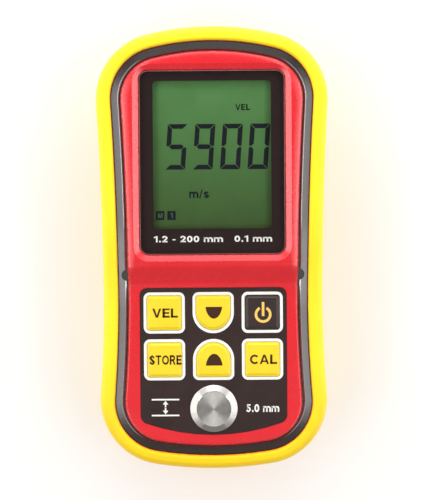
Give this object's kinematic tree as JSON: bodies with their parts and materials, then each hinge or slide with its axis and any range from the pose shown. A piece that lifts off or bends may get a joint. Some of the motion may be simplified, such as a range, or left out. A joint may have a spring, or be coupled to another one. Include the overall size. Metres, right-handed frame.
{
  "type": "ultrasonic thickness gauge",
  "caption": "Handheld ultrasonic wall-thickness gauge with a hooded display, a keypad, a steel test block and probe sockets, in a rubber boot.",
  "frame": {"origin": "middle of the footprint, on the surface the boot's back lies on", "axes": "+X to the right as the display reads, +Y along the body towards the probe sockets, +Z out of the display"},
  "size_m": [0.0764, 0.146, 0.0306],
  "materials": {
    "boot_rubber": "soft satin",
    "case_red": "satin moulded",
    "trim_dark": "gloss",
    "lens_clear": "clear acrylic",
    "mask_black": "printed black",
    "lcd_green": "display glass",
    "backlight_white": "diffuse",
    "strip_rubber": "matte",
    "frame_plastic": "matte",
    "overlay_black": "satin film",
    "print_white": "printed white",
    "key_yellow": "satin",
    "key_black": "satin",
    "chip_black": "matte",
    "block_steel": "turned",
    "board_green": "satin",
    "capacitor_sleeve": "gloss",
    "nickel": "nickel plate",
    "contact_brass": "polished",
    "insulator_white": "matte",
    "cell_sleeve": "gloss",
    "lead_sleeve": "matte"
  },
  "bodies": {
    "gauge": {"protective_boot": "boot_rubber", "front_case": "case_red", "front_trim": "trim_dark", "display_lens": "lens_clear", "lens_mask": "mask_black", "lcd_glass": "lcd_green", "lcd_backlight": "backlight_white", "lcd_contact_strips": "strip_rubber", "lcd_frame": "frame_plastic", "keypad_overlay": "overlay_black", "key_borders": "print_white", "switch_bodies": "chip_black", "test_block": "block_steel", "main_board": "board_green", "board_chips": "chip_black", "board_capacitors": "capacitor_sleeve", "board_screws": "nickel", "rear_case": "case_red", "battery_1": "cell_sleeve", "battery_2": "cell_sleeve", "battery_3": "cell_sleeve", "battery_springs": "nickel", "battery_plates": "nickel", "probe_socket_left": "nickel", "probe_socket_right": "nickel", "socket_insulators": "insulator_white", "socket_contacts": "contact_brass", "socket_washers": "nickel", "socket_nuts": "nickel", "socket_leads": "lead_sleeve", "case_screws": "nickel"},
    "velocity_key": {"key_velocity": "key_yellow", "plunger_velocity": "frame_plastic"},
    "down_key": {"key_down": "key_yellow", "plunger_down": "frame_plastic"},
    "power_key": {"key_power": "key_black", "plunger_power": "frame_plastic"},
    "store_key": {"key_store": "key_yellow", "plunger_store": "frame_plastic"},
    "up_key": {"key_up": "key_yellow", "plunger_up": "frame_plastic"},
    "calibrate_key": {"key_calibrate": "key_yellow", "plunger_calibrate": "frame_plastic"},
    "door": {"battery_door": "case_red"}
  },
  "joints": [
    {"name": "velocity_key_press", "type": "slide", "parent": "gauge", "child": "velocity_key", "axis": [0, 0, -1], "range_m": [0, 0.0004], "stiffness_N_per_m": 800},
    {"name": "down_key_press", "type": "slide", "parent": "gauge", "child": "down_key", "axis": [0, 0, -1], "range_m": [0, 0.0004], "stiffness_N_per_m": 800},
    {"name": "power_key_press", "type": "slide", "parent": "gauge", "child": "power_key", "axis": [0, 0, -1], "range_m": [0, 0.0004], "stiffness_N_per_m": 800},
    {"name": "store_key_press", "type": "slide", "parent": "gauge", "child": "store_key", "axis": [0, 0, -1], "range_m": [0, 0.0004], "stiffness_N_per_m": 800},
    {"name": "up_key_press", "type": "slide", "parent": "gauge", "child": "up_key", "axis": [0, 0, -1], "range_m": [0, 0.0004], "stiffness_N_per_m": 800},
    {"name": "calibrate_key_press", "type": "slide", "parent": "gauge", "child": "calibrate_key", "axis": [0, 0, -1], "range_m": [0, 0.0004], "stiffness_N_per_m": 800},
    {"name": "battery_door_swing", "type": "hinge", "parent": "gauge", "child": "door", "pos_m": [0, -0.0035, 0.0035], "axis": [1, 0, 0], "range_deg": [0, 90]}
  ]
}
